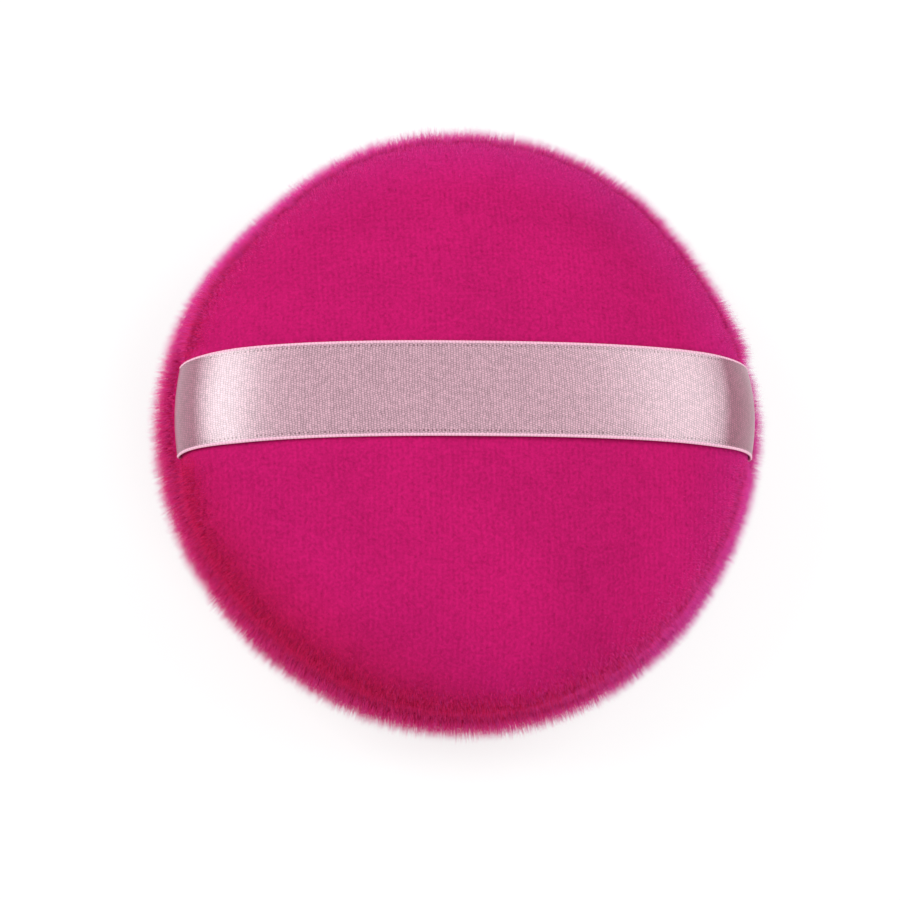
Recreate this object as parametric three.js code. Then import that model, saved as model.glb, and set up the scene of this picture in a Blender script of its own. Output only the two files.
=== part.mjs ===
// A round velour powder puff with a satin ribbon band across its face.
// It lies on its back: +Z points out of the face that carries the ribbon, and +X runs along the ribbon.
// Sizes are in millimetres, and the origin is the middle of the flat that the puff rests on.

import * as THREE from 'three';

// Driving dimensions of the pad
const PUFF_WIDTH = 80; // across the back rim, along the ribbon
const PUFF_LENGTH = 80.6; // across the back rim, square to the ribbon
const PUFF_HEIGHT = 25.5; // from the rest face to the crown of the front
const REST_WIDTH = 50; // the flat that the puff rests on
const SEAM_HEIGHT = 12; // middle of the seam above the rest face
const FACE_INSET = 0.6; // how far the front rim stays inside the back rim
const SEAM_DEPTH = 1.5; // from the front rim in to the fold of the seam
const FRONT_ROLL = 2.5; // from the seam up to the widest place of the front
const BACK_ROLL = 5; // from the seam down to the widest place of the back
const CLOTH_THICKNESS = 1.6; // velour with its pile
const SEAM_ALLOWANCE = 5; // cloth turned in past the fold

// Driving dimensions of the ribbon and the threads
const RIBBON_WIDTH = 12.7;
const RIBBON_THICKNESS = 0.4;
const RIBBON_TAIL = 4.5; // length of each ribbon end inside the seam
const RIBBON_PINCH = 2.4; // how far the ribbon draws the rim and the seam in at its two ends
const PINCH_EASE = 5.5; // how far past the ribbon's edges that reaches
const THREAD_THICKNESS = 0.4;
const THREAD_INSET = 1.5; // from the fold in to the middle of the seam thread
const TURNING_GAP = 46; // opening left for the foam, closed by hand afterwards
const LADDER_STITCH = 3; // length of one stitch of the closing thread
const THREAD_END_GAP = 0.8; // between the ends of the two threads
const CLEARANCE = 0.3; // between pieces that touch

// Two shallow flats where the rim is drawn in: place in degrees from +X, depth, and spread in degrees
const RIM_FLATS = [
  { at: 36, depth: 1.3, spread: 22 },
  { at: 130, depth: 1.6, spread: 20 },
];

// How finely the round forms are cut
const RIM_STEPS = 52;
const DOME_STEPS = 9;
const INSIDE_DOME_STEPS = 7;
const ROLL_STEPS = 3;
const BOWL_STEPS = 6;
const INSIDE_BOWL_STEPS = 3;
const RIBBON_STEPS = 14;
const THREAD_SIDES = 6;
const THREAD_STEPS = 64;
const STEPS_PER_STITCH = 4;

// Heights and radii that follow from the sizes above
const QUARTER = Math.PI / 2;
const SEAM_SLIT = RIBBON_THICKNESS + 2 * CLEARANCE;
const FRONT_FOLD = SEAM_HEIGHT + SEAM_SLIT / 2;
const BACK_FOLD = SEAM_HEIGHT - SEAM_SLIT / 2;
const FRONT_RIM = FRONT_FOLD + FRONT_ROLL;
const BACK_RIM = BACK_FOLD - BACK_ROLL;
const BACK_RADIUS = PUFF_WIDTH / 2;
const FRONT_RADIUS = BACK_RADIUS - FACE_INSET;
const FOLD_RADIUS = FRONT_RADIUS - SEAM_DEPTH;
const ALLOWANCE_RADIUS = FOLD_RADIUS - SEAM_ALLOWANCE;
const REST_RADIUS = REST_WIDTH / 2;
const PINCH_ANGLE = (RIBBON_WIDTH / 2 + PINCH_EASE) / BACK_RADIUS;
const PINCHED = 1 - RIBBON_PINCH / BACK_RADIUS; // share of the radius left under the ribbon's ends
const THREAD_RADIUS = FOLD_RADIUS - THREAD_INSET;
const THREAD_LOW = BACK_FOLD - THREAD_THICKNESS / 2;
const THREAD_HIGH = FRONT_FOLD - CLEARANCE - THREAD_THICKNESS / 2;
const GAP_HALF_ANGLE = TURNING_GAP / (2 * THREAD_RADIUS);
const THREAD_END_ANGLE = THREAD_END_GAP / THREAD_RADIUS;

const point = (radius, height) => new THREE.Vector2(radius, height);

// Points along part of an ellipse, from one angle to another.
function arc(middleRadius, middleHeight, across, rise, start, end, steps) {
  const curve = new THREE.EllipseCurve(middleRadius, middleHeight, across, rise, start, end, end < start);
  return curve.getPoints(steps);
}

// The crown of the front from its rim up to the axis, drawn in by inset on every side.
function frontDome(inset, base, steps) {
  return arc(0, base, FRONT_RADIUS - inset, PUFF_HEIGHT - inset - base, 0, QUARTER, steps);
}

// The rounded underside of the back from the flat out to its rim, drawn in by inset.
function backBowl(inset, steps) {
  const across = BACK_RADIUS - REST_RADIUS - inset;
  return arc(REST_RADIUS, BACK_RIM, across, BACK_RIM - inset, -QUARTER, 0, steps);
}

// How far the rim flats draw the plan in at an angle.
function flatDepth(angle) {
  let depth = 0;
  for (const flat of RIM_FLATS) {
    const turn = THREE.MathUtils.radToDeg(angle) - flat.at;
    const away = THREE.MathUtils.euclideanModulo(turn + 180, 360) - 180;
    depth += flat.depth * Math.exp(-((away / flat.spread) ** 2));
  }
  return depth;
}

// How far the ribbon's two ends draw the plan in: fully from the seam up, and not below the back rim.
function pinchDepth(angle, height) {
  const away = Math.asin(Math.abs(Math.sin(angle))) / PINCH_ANGLE;
  const share = THREE.MathUtils.smoothstep(height, BACK_RIM, FRONT_FOLD);
  return RIBBON_PINCH * share * Math.exp(-(away ** 4));
}

// A point of a plain round pad, moved to the puff's own plan.
function onPlan(radius, angle, height) {
  const reach = radius * (1 - (flatDepth(angle) + pinchDepth(angle, height)) / BACK_RADIUS);
  const along = reach * Math.cos(angle);
  const across = reach * Math.sin(angle) * (PUFF_LENGTH / PUFF_WIDTH);
  return new THREE.Vector3(along, across, height);
}

// A solid turned from a profile that leaves the axis low and comes back to it high, on the puff's own plan.
function turned(profile) {
  const geometry = new THREE.LatheGeometry(profile, RIM_STEPS);
  geometry.rotateX(QUARTER);
  const places = geometry.attributes.position;
  for (let i = 0; i < places.count; i += 1) {
    const radius = Math.hypot(places.getX(i), places.getY(i));
    const placed = onPlan(radius, Math.atan2(places.getY(i), places.getX(i)), places.getZ(i));
    places.setXYZ(i, placed.x, placed.y, placed.z);
  }
  geometry.computeVertexNormals();
  return geometry;
}

// The front cover: the inside, the turned-in allowance, the roll out of the seam and the crown.
function frontCoverProfile() {
  const allowanceTop = FRONT_FOLD + CLOTH_THICKNESS;
  return [
    ...frontDome(CLOTH_THICKNESS, allowanceTop, INSIDE_DOME_STEPS).reverse(),
    point(ALLOWANCE_RADIUS, allowanceTop),
    point(ALLOWANCE_RADIUS, FRONT_FOLD),
    ...arc(FOLD_RADIUS, FRONT_RIM, SEAM_DEPTH, FRONT_ROLL, -QUARTER, 0, ROLL_STEPS),
    ...frontDome(0, FRONT_RIM, DOME_STEPS).slice(1),
  ];
}

// The groove that the seam thread presses into the back allowance, from its outer wall inwards.
function threadGroove() {
  const halfWidth = THREAD_THICKNESS / 2 + CLEARANCE;
  const floor = BACK_FOLD - THREAD_THICKNESS - CLEARANCE;
  return [
    point(THREAD_RADIUS + halfWidth, BACK_FOLD),
    point(THREAD_RADIUS + halfWidth, floor),
    point(THREAD_RADIUS - halfWidth, floor),
    point(THREAD_RADIUS - halfWidth, BACK_FOLD),
  ];
}

// The back cover: the underside, the roll into the seam, the turned-in allowance and the inside.
function backCoverProfile() {
  const rollOut = BACK_RADIUS - FOLD_RADIUS;
  const insideOut = rollOut - CLOTH_THICKNESS;
  const insideRoll = BACK_ROLL - CLOTH_THICKNESS;
  return [
    point(0, 0),
    ...backBowl(0, BOWL_STEPS),
    ...arc(FOLD_RADIUS, BACK_RIM, rollOut, BACK_ROLL, 0, QUARTER, ROLL_STEPS).slice(1),
    ...threadGroove(),
    point(ALLOWANCE_RADIUS, BACK_FOLD),
    point(ALLOWANCE_RADIUS, BACK_FOLD - CLOTH_THICKNESS),
    ...arc(FOLD_RADIUS, BACK_RIM, insideOut, insideRoll, QUARTER, 0, ROLL_STEPS - 1),
    ...backBowl(CLOTH_THICKNESS, INSIDE_BOWL_STEPS).reverse().slice(1),
    point(0, CLOTH_THICKNESS),
  ];
}

// The foam disc fills the covers and is pressed into a groove round the seam allowances.
function foamProfile() {
  const inset = CLOTH_THICKNESS + CLEARANCE;
  const grooveRadius = FOLD_RADIUS - Math.max(SEAM_ALLOWANCE, RIBBON_TAIL) - CLEARANCE;
  const grooveTop = FRONT_FOLD + inset;
  const grooveBottom = BACK_FOLD - inset;
  return [
    point(0, inset),
    ...backBowl(inset, INSIDE_BOWL_STEPS),
    point(FOLD_RADIUS - CLEARANCE, grooveBottom),
    point(grooveRadius, grooveBottom),
    point(grooveRadius, BACK_FOLD),
    point(grooveRadius, FRONT_FOLD),
    point(grooveRadius, grooveTop),
    ...frontDome(inset, grooveTop, INSIDE_DOME_STEPS),
  ];
}

// Moves a path sideways by a distance, to the left of its direction of travel.
function besidePath(path, distance) {
  return path.map((here, i) => {
    const before = path[Math.max(i - 1, 0)];
    const after = path[Math.min(i + 1, path.length - 1)];
    const along = point(after.x - before.x, after.y - before.y).normalize();
    return point(here.x - along.y * distance, here.y + along.x * distance);
  });
}

// A flat strip as wide as the ribbon, whose edge view follows a path in X and Z at the clearance.
// It lies on the right of the path's direction of travel.
function strip(path) {
  const near = besidePath(path, -CLEARANCE);
  const far = besidePath(path, -CLEARANCE - RIBBON_THICKNESS);
  const geometry = new THREE.ExtrudeGeometry(new THREE.Shape([...near, ...far.reverse()]), {
    depth: RIBBON_WIDTH,
    bevelEnabled: false,
  });
  geometry.rotateX(QUARTER);
  geometry.translate(0, RIBBON_WIDTH / 2, 0);
  return geometry;
}

const mirrored = (path) => path.map((p) => point(-p.x, p.y)).reverse();

// The ribbon's free part, from rim to rim over the crown. The path runs towards -X.
function ribbonBandPath() {
  const reach = FRONT_RADIUS * PINCHED;
  const rightHalf = arc(0, FRONT_RIM, reach, PUFF_HEIGHT - FRONT_RIM, 0, QUARTER, RIBBON_STEPS);
  return [...rightHalf, ...mirrored(rightHalf).slice(1)];
}

// The right sewn end of the ribbon, from inside the seam out under the front rim.
function ribbonTailPath() {
  const fold = FOLD_RADIUS * PINCHED;
  const roll = arc(fold, FRONT_RIM, SEAM_DEPTH * PINCHED, FRONT_ROLL, -QUARTER, 0, ROLL_STEPS + 1);
  roll[roll.length - 1].y -= CLEARANCE;
  return [point(fold - RIBBON_TAIL, FRONT_FOLD), ...roll];
}

// A round thread along a list of points.
function thread(points, steps) {
  const section = new THREE.Shape();
  section.absarc(0, 0, THREAD_THICKNESS / 2, 0, 2 * Math.PI, false);
  return new THREE.ExtrudeGeometry(section, {
    extrudePath: new THREE.CatmullRomCurve3(points),
    curveSegments: THREAD_SIDES / 2,
    steps,
  });
}

// The machine seam runs from one side of the turning gap round to the other, under the ribbon's ends.
function seamThreadPoints() {
  const first = QUARTER + GAP_HALF_ANGLE;
  const sweep = 2 * (Math.PI - GAP_HALF_ANGLE);
  const points = [];
  for (let i = 0; i <= THREAD_STEPS; i += 1) {
    points.push(onPlan(THREAD_RADIUS, first + (sweep * i) / THREAD_STEPS, THREAD_LOW));
  }
  return points;
}

// The closing seam climbs from fold to fold and back, one stitch at a time, across the turning gap.
function closingThreadPoints() {
  const half = GAP_HALF_ANGLE - THREAD_END_ANGLE;
  const stitches = Math.round((2 * half * THREAD_RADIUS) / LADDER_STITCH);
  const points = [];
  for (let i = 0; i <= stitches; i += 1) {
    const angle = QUARTER - half + (2 * half * i) / stitches;
    points.push(onPlan(THREAD_RADIUS, angle, i % 2 === 0 ? THREAD_LOW : THREAD_HIGH));
  }
  return points;
}

// Finishes
const velour = { color: 0xc31a69, roughness: 0.95, metalness: 0 };
const satin = { color: 0xdcb9c6, roughness: 0.35, metalness: 0 };
const foam = { color: 0xf3ead2, roughness: 0.9, metalness: 0 };
const cotton = { color: 0xb31c63, roughness: 0.8, metalness: 0 };

const puff = new THREE.Group();

function addPiece(name, geometry, finish) {
  const mesh = new THREE.Mesh(geometry, new THREE.MeshStandardMaterial(finish));
  mesh.name = name;
  puff.add(mesh);
}

addPiece('back_cover', turned(backCoverProfile()), velour);
addPiece('foam_core', turned(foamProfile()), foam);
addPiece('front_cover', turned(frontCoverProfile()), velour);

addPiece('ribbon_band', strip(ribbonBandPath()), satin);
addPiece('ribbon_tail_right', strip(ribbonTailPath()), satin);
addPiece('ribbon_tail_left', strip(mirrored(ribbonTailPath())), satin);

const ladder = closingThreadPoints();
addPiece('seam_thread', thread(seamThreadPoints(), THREAD_STEPS), cotton);
addPiece('closing_thread', thread(ladder, STEPS_PER_STITCH * (ladder.length - 1)), cotton);

export default puff;
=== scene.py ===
"""The looks of a round velour powder puff with a satin ribbon band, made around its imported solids."""
import math

import bpy
import numpy as np
from mathutils import Matrix, Vector, noise


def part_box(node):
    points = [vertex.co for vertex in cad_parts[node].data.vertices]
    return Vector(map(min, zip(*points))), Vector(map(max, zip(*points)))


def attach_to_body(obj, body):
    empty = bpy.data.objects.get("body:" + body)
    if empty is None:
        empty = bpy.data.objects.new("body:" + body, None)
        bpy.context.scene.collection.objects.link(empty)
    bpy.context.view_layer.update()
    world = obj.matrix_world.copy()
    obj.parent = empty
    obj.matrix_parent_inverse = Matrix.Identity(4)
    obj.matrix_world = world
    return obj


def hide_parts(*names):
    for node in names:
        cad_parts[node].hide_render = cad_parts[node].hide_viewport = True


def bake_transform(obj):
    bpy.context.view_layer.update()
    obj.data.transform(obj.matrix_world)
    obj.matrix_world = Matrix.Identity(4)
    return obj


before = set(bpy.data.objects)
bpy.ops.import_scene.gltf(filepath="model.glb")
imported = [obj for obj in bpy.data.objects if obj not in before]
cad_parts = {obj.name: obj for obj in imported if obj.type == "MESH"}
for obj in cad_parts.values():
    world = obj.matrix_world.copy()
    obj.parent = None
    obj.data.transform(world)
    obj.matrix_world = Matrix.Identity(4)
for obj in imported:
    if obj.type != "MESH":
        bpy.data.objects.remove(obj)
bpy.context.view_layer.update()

MM = 0.001
TINY = 1e-15

# Sizes read from the frame
back_low, back_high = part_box("back_cover")
front_low, front_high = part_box("front_cover")
band_low, band_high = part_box("ribbon_band")
thread_low, thread_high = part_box("seam_thread")
closing_low, closing_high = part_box("closing_thread")
BACK_RADIUS = (back_high.x - back_low.x) / 2
LENGTH_SHARE = (back_high.y - back_low.y) / (back_high.x - back_low.x)
CROWN = front_high.z
SEAM = (front_low.z + back_high.z) / 2
RIBBON_WIDTH = band_high.y - band_low.y

# The pad's own sizes
FACE_INSET = 0.6 * MM
SEAM_DEPTH = 1.5 * MM
FRONT_ROLL = 2.5 * MM
BACK_ROLL = 5 * MM
REST_RADIUS = 25 * MM
SEAM_ALLOWANCE = 5 * MM
CLOTH = 0.8 * MM
SEAM_SLIT = 0.34 * MM
FOLD_SLIT = 0.08 * MM

FRONT_FOLD = SEAM + FOLD_SLIT / 2
BACK_FOLD = SEAM - FOLD_SLIT / 2
FRONT_RIM = front_low.z + FRONT_ROLL
BACK_RIM = back_high.z - BACK_ROLL
FRONT_RADIUS = BACK_RADIUS - FACE_INSET
FOLD_RADIUS = FRONT_RADIUS - SEAM_DEPTH
ALLOWANCE_RADIUS = FOLD_RADIUS - SEAM_ALLOWANCE

# The woven ground, which lies inside the pad's surface by the depth of its pile
FACE_PILE = 0.45 * MM
RIM_PILE = 1.1 * MM
EDGE_EASE = 0.1 * MM
GROUND_CROWN = CROWN - FACE_PILE
GROUND_EDGE = FRONT_RADIUS - EDGE_EASE - RIM_PILE
GROUND_BACK = BACK_RADIUS - RIM_PILE

# The face's dome, fuller than an ellipse, whose power is 2
DOME_POWER = 2.4
DOME_STEPS = 400

# Flats of the rim, and fuller places below 0, in degrees and millimetres
RIM_FLATS = [
    {"at": 32, "depth": 0.7, "spread": 16},
    {"at": 134, "depth": 1.7, "spread": 24},
    {"at": 66, "depth": -0.4, "spread": 26},
    {"at": 268, "depth": -0.52, "spread": 26},
    {"at": 330, "depth": 0.45, "spread": 22},
    {"at": 4, "depth": -1.1, "spread": 17},
    {"at": 181, "depth": -0.2, "spread": 13},
]

# Where the ribbon's ends draw the face in, likewise
PINCHES = [
    {"at": 2, "depth": 0.5, "spread": 16},
    {"at": 178, "depth": 0.85, "spread": 19},
]

# The covers' broad and fine lumps, which fade out near the floor and near the seam's fold
BROAD_LUMP = 24 * MM
BROAD_HEIGHT = 0.28 * MM
FINE_LUMP = 6 * MM
FINE_HEIGHT = 0.06 * MM
LUMPS_OFF_FLOOR = (0.2 * MM, 3 * MM)
LUMPS_FROM_FOLD = (0, 3 * MM)
FINE_SEED_STEP = 5
SEED_SHIFT = 17.3

# How finely the covers are cut
RIM_STEPS = 360
PROFILE_STEP = 0.4 * MM

# The ribbon: how it lies, then its tails, its woven edges and its form
RIBBON_THICKNESS = 0.24 * MM
RIBBON_LIFT = 0.33 * MM
RIBBON_ASIDE = 0.7 * MM
RIBBON_STEP = 0.3 * MM
RIBBON_ACROSS = 44
END_LOOP = 0.02
RIBBON_TAIL = 4.5 * MM
TAIL_FOLD_INSET = 2.4 * MM
TAIL_THINNER = 0.02 * MM
TURN_IN = 0.8 * MM
SELVEDGE_WIDTH = 0.34 * MM
SELVEDGE_SWELL = 0.07 * MM
SELVEDGE_STEPS = 7
BEADS_IN_SELVEDGE = 1.2
THINNEST_EDGE = 0.004 * MM
SCALLOP_DEPTH = 0.25
SCALLOP_PITCH = 0.9 * MM
SCALLOP_WIDTH = 0.45 * MM
END_TAPER = 0.03
EDGE_DROP = 0.15 * MM
HAIR = 0.01 * MM

# The velour's pile, which lies close on the face and opens into a soft edge round the rim
FIBRES = 49000
FACE_FIBRE = 0.75 * MM
RIM_FIBRE = 2.7 * MM
LOWER_RIM_FIBRE = 1.9 * MM
SEAM_FIBRE = 1.5 * MM
SHORTEST_SHARE = 0.35
NAP_TURN = 20 * MM
PILE_FROM_FOLD = 0.1 * MM
PILE_OFF_FLOOR = (0.9 * MM, 4 * MM)
BACK_BEND_HEIGHT = 2 * MM
SEAM_FIBRE_DEPTH = 1.5 * MM
RIM_WEIGHT = 5.5
RIM_BEND = (0.1, 0.6)
WALE = 0.72 * MM
WALE_SPREAD = 0.3
WALE_PULL = 0.5

# How the fibres lean: with the nap, with what is round them and each in its own way
NAP_LEAN = (0.05, -0.3, 0.0)
SWAY_LEAN = (0.18, 0.14, 0.0)
SWAY_SIZE = 5 * MM
LEAN_SPREAD = 0.24

# The form of a fibre: three corners at its root, a third of a turn apart, and a tip
FIBRE_RADIUS = 0.018 * MM
THICK_SPREAD = 0.2
THICK_SHARES = (0.5, 1.6)
ROOT_DEPTH = 0.15 * MM
ROOT_CORNERS = (0, 2.094, 4.189)
FIBRE_FACES = ((0, 1, 3), (1, 2, 3), (2, 0, 3), (0, 2, 1))

# The ribbon presses the pile down under it, and shortens it beside its ends
PRESS_EASE = 0.6 * MM
PRESSED_FACING = 0.05
PRESSED_LEAN = 0.8
PRESSED_FROM = 0.3
PRESSED_LENGTH = 0.28 * MM
SHORTER_BESIDE = 0.6
BESIDE_DEPTH = 2.5 * MM

# Shares of the face's shades of fibre, and which fibres have one of the rim's shades instead
FACE_SHADES = (0.44, 0.32, 0.2, 0.04)
RIM_SHARE = 0.9
LONG_SHARE = 0.72

# The rim's pile has painted light and shade: paler towards the upper right, deeper red towards the lower
# left, and its shades start nearer the face on the paler side
PAINTED_LIGHT_WAY = math.radians(47)
PAINTED_LIGHT_TURN = (-39 * MM, 6 * MM)
PAINTED_LIGHT_START = (0.07, 0.2)

# The cloth simulation that fills the covers, on a copy as large as the solver likes
SWELL_SCALE = 25
SWELL_ROWS = 30
SWELL_FRAMES = 24
SWELL_SHARE = 0.3
SWELL_LIMIT = 0.15 * MM
HELD_BY_SEAM = 0.3 * MM
HELD_BY_FLOOR = 0.1 * MM

# The foam: its waist lies inside the seam allowances, between a lip below and the dome above
WAIST_INSET = 5.6 * MM
WAIST_HALF = 2 * MM
LIP_INSET = 0.5 * MM
LIP_DROP = 2.1 * MM
FOAM_DOME_RISE = 2.2 * MM
FOAM_DOME_INSET = 1.4 * MM
FOAM_STEP = 0.9 * MM
FOAM_STEPS = 120

# The threads: the machine seam leaves a gap at the top, which the closing thread's stitches fill
SEAM_INSET = 1.5 * MM
SEAM_STEPS = 400
GAP_HALF = 23 * MM
CLOSING_GAP = 0.8 * MM
STITCH = 3 * MM
STITCH_STEPS = 20
PLY_PITCH = 1.6 * MM
THREAD_STEP = 0.3 * MM
PLIES = 2
PLY_SIDES = 6
PLY_ENDS = ((0, 1, 2, 3), (0, 3, 4, 5))

# The flat sizes of the cloth
FRONT_DISC = 0.100
BACK_DISC = 0.107

# The camera stands where the photograph was taken from: over the face, a little below it and to the left
CAMERA_PITCH = math.radians(15)
CAMERA_YAW = math.radians(8.9)
CAMERA_ROLL = math.radians(1.97)
CAMERA_DISTANCE = 0.45
SENSOR_WIDTH = 36
PIXELS_PER_MM = 7.589
IMAGE_PIXELS = 900
AIM_PIXEL = (462.8, 421.4)

# Floor and light
FLOOR_HALF = 2.0
FLOOR_GREY = (0.25, 0.25, 0.25)
FLOOR_GLOW = 0.74
SKY_STRENGTH = 0.465
WHITE = (1, 1, 1, 1)
SOFT_BOXES = {
    "left_box": {"direction": (-0.775, 0.27, 0.56), "distance": 0.7, "size": (0.42, 0.39), "power": 3.8},
    "right_box": {"direction": (0.705, 0.26, 0.655), "distance": 0.75, "size": (0.45, 0.42), "power": 2.75},
    "key_box": {"direction": (0.4, 0.7, 0.6), "distance": 0.85, "size": (0.5, 0.5), "power": 0.6},
    "front_box": {"direction": (0.35, -0.77, 0.5), "distance": 0.85, "size": (0.5, 0.4), "power": 2.6},
}


# Shape of the pad

def spreads_away(angle, place):
    """How far an angle is from a place on the rim, in spreads of that place."""
    turn = (angle - math.radians(place["at"]) + np.pi) % (2 * np.pi) - np.pi
    return np.abs(turn) / math.radians(place["spread"])


def smooth(value, low, high):
    """A smooth step from 0 at low to 1 at high."""
    share = np.clip((value - low) / (high - low), 0, 1)
    return share * share * (3 - 2 * share)


def unit(vectors):
    """The vectors at a length of 1."""
    return vectors / np.linalg.norm(vectors, axis=-1, keepdims=True)


def distances(path):
    """How far along a path each of its points lies."""
    return np.concatenate([[0], np.cumsum(np.linalg.norm(np.diff(path, axis=0), axis=1))])


def drawn_in(angle, height):
    """How far the plan is drawn in at an angle and a height."""
    depth = np.zeros(np.broadcast(angle, height).shape)
    for flat in RIM_FLATS:
        depth = depth + flat["depth"] * MM * np.exp(-(spreads_away(angle, flat) ** 2))
    share = smooth(height, BACK_RIM, front_low.z)
    for pinch in PINCHES:
        depth = depth + pinch["depth"] * MM * share * np.exp(-(spreads_away(angle, pinch) ** 3))
    return depth


def on_plan(radius, angle, height):
    """Points of a plain round pad, moved to the puff's own plan."""
    reach = radius * (1 - drawn_in(angle, height) / BACK_RADIUS)
    along, across = reach * np.cos(angle), reach * np.sin(angle) * LENGTH_SHARE
    return np.stack([along, across, np.broadcast_to(height, along.shape)], -1)


def arc(middle, size, start, end, steps=60):
    """Points along part of an ellipse, angles in degrees."""
    t = np.radians(np.linspace(start, end, steps))
    return np.stack([middle[0] + size[0] * np.cos(t), middle[1] + size[1] * np.sin(t)], -1)


def evenly(path, step):
    """The path again, with points about a step apart."""
    along = distances(path)
    at = np.linspace(0, along[-1], max(3, round(along[-1] / step) + 1))
    return np.stack([np.interp(at, along, path[:, i]) for i in range(path.shape[1])], -1)


def dome_curve():
    """Share of the reach and share of the rise along the face, from its crown to its edge."""
    t = np.linspace(0, np.pi / 2, DOME_STEPS)
    return np.stack([np.sin(t), np.cos(t)], -1) ** (2 / DOME_POWER)


def allowance_edge(height):
    """The fold of a cover's seam allowance and the allowance's edge, at a height."""
    return np.array([[FOLD_RADIUS, height], [ALLOWANCE_RADIUS, height]])


def front_profile():
    """Radius and height of the front cover, from its crown out to the rim and in to its allowance's edge."""
    dome = dome_curve() * [GROUND_EDGE, GROUND_CROWN - FRONT_FOLD] + [0, FRONT_FOLD]
    return np.concatenate([dome, allowance_edge(SEAM + SEAM_SLIT / 2)])


def back_profile():
    """Radius and height of the back cover, from its middle out to the rim and in to its allowance's edge."""
    flat = np.array([[0.0, 0.0]])
    bowl = arc((REST_RADIUS, BACK_RIM), (GROUND_BACK - REST_RADIUS, BACK_RIM), -90, 0)
    roll = arc((GROUND_EDGE, BACK_RIM), (GROUND_BACK - GROUND_EDGE, BACK_FOLD - BACK_RIM), 0, 90)
    return np.concatenate([flat, bowl, roll[1:], allowance_edge(SEAM - SEAM_SLIT / 2)])


def grid_normals(points, outward):
    """Unit normals of a grid of rings, on the outward side."""
    along = np.gradient(points, axis=0)
    wrapped = np.concatenate([points[:, -1:], points, points[:, :1]], 1)
    around = (wrapped[:, 2:] - wrapped[:, :-2]) / 2
    normals = np.cross(along, around) * outward
    size = np.linalg.norm(normals, axis=-1, keepdims=True)
    normals = normals / np.maximum(size, TINY)
    normals[0] = unit(normals[1].mean(0))
    return normals


def noise_at(points, size, seed):
    """Smooth noise between about -1 and 1 at each point, with lumps of a size."""
    flat = points.reshape(-1, 3) / size + seed * SEED_SHIFT
    return np.array([noise.noise(Vector(p)) for p in flat]).reshape(points.shape[:-1])


def cover_grid(profile, outward, seed):
    """The outer side of a cover as cut: points, normals and each ring's distance from the seam's fold."""
    profile = evenly(profile, PROFILE_STEP)
    angle = np.linspace(0, 2 * np.pi, RIM_STEPS, endpoint=False)
    points = on_plan(profile[:, :1], angle[None], profile[:, 1:])
    normals = grid_normals(points, outward)
    along = distances(profile)
    from_fold = along[-1] - along - (GROUND_EDGE - ALLOWANCE_RADIUS)
    lumps = noise_at(points, BROAD_LUMP, seed) * BROAD_HEIGHT
    lumps = lumps + noise_at(points, FINE_LUMP, seed + FINE_SEED_STEP) * FINE_HEIGHT
    lumps = lumps * smooth(points[..., 2], *LUMPS_OFF_FLOOR) * smooth(from_fold, *LUMPS_FROM_FOLD)[:, None]
    points = points + normals * lumps[..., None]
    return points, grid_normals(points, outward), from_fold


def fill_rows(coarse, rows, row_count):
    """Values on some rows and every second column of a grid, filled in over the whole grid."""
    place = np.interp(np.arange(row_count), rows, np.arange(len(rows)))
    low = np.floor(place).astype(int)
    high = np.minimum(low + 1, len(rows) - 1)
    share = (place - low)[:, None, None]
    tall = coarse[low] * (1 - share) + coarse[high] * share
    between = (tall + np.roll(tall, -1, 1)) / 2
    return np.stack([tall, between], 2).reshape(row_count, -1, 3)


def blown_up(points, faces, held):
    """Where cloth moves to when it is blown up from inside. held says which points stay where they are."""
    mesh = bpy.data.meshes.new("trial_cloth")
    mesh.from_pydata((points * SWELL_SCALE).tolist(), [], faces)
    trial = in_scene("trial_cloth", mesh)
    trial.vertex_groups.new(name="held").add(np.flatnonzero(held).tolist(), 1, "REPLACE")
    cloth = trial.modifiers.new("cloth", "CLOTH")
    settings = cloth.settings
    settings.quality = 6
    settings.mass = 0.15
    settings.tension_stiffness = 20
    settings.compression_stiffness = 12
    settings.shear_stiffness = 8
    settings.bending_stiffness = 0.3
    settings.use_pressure = True
    settings.uniform_pressure_force = 2
    settings.vertex_group_mass = "held"
    settings.effector_weights.gravity = 0
    cloth.point_cache.frame_end = SWELL_FRAMES
    for number in range(1, SWELL_FRAMES + 1):
        bpy.context.scene.frame_set(number)
    settled = trial.evaluated_get(bpy.context.evaluated_depsgraph_get()).data
    moved = np.zeros(len(points) * 3, np.float32)
    settled.vertices.foreach_get("co", moved)
    bpy.data.objects.remove(trial)
    bpy.data.meshes.remove(mesh)
    bpy.context.scene.frame_set(1)
    return moved.reshape(-1, 3) / SWELL_SCALE


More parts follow.
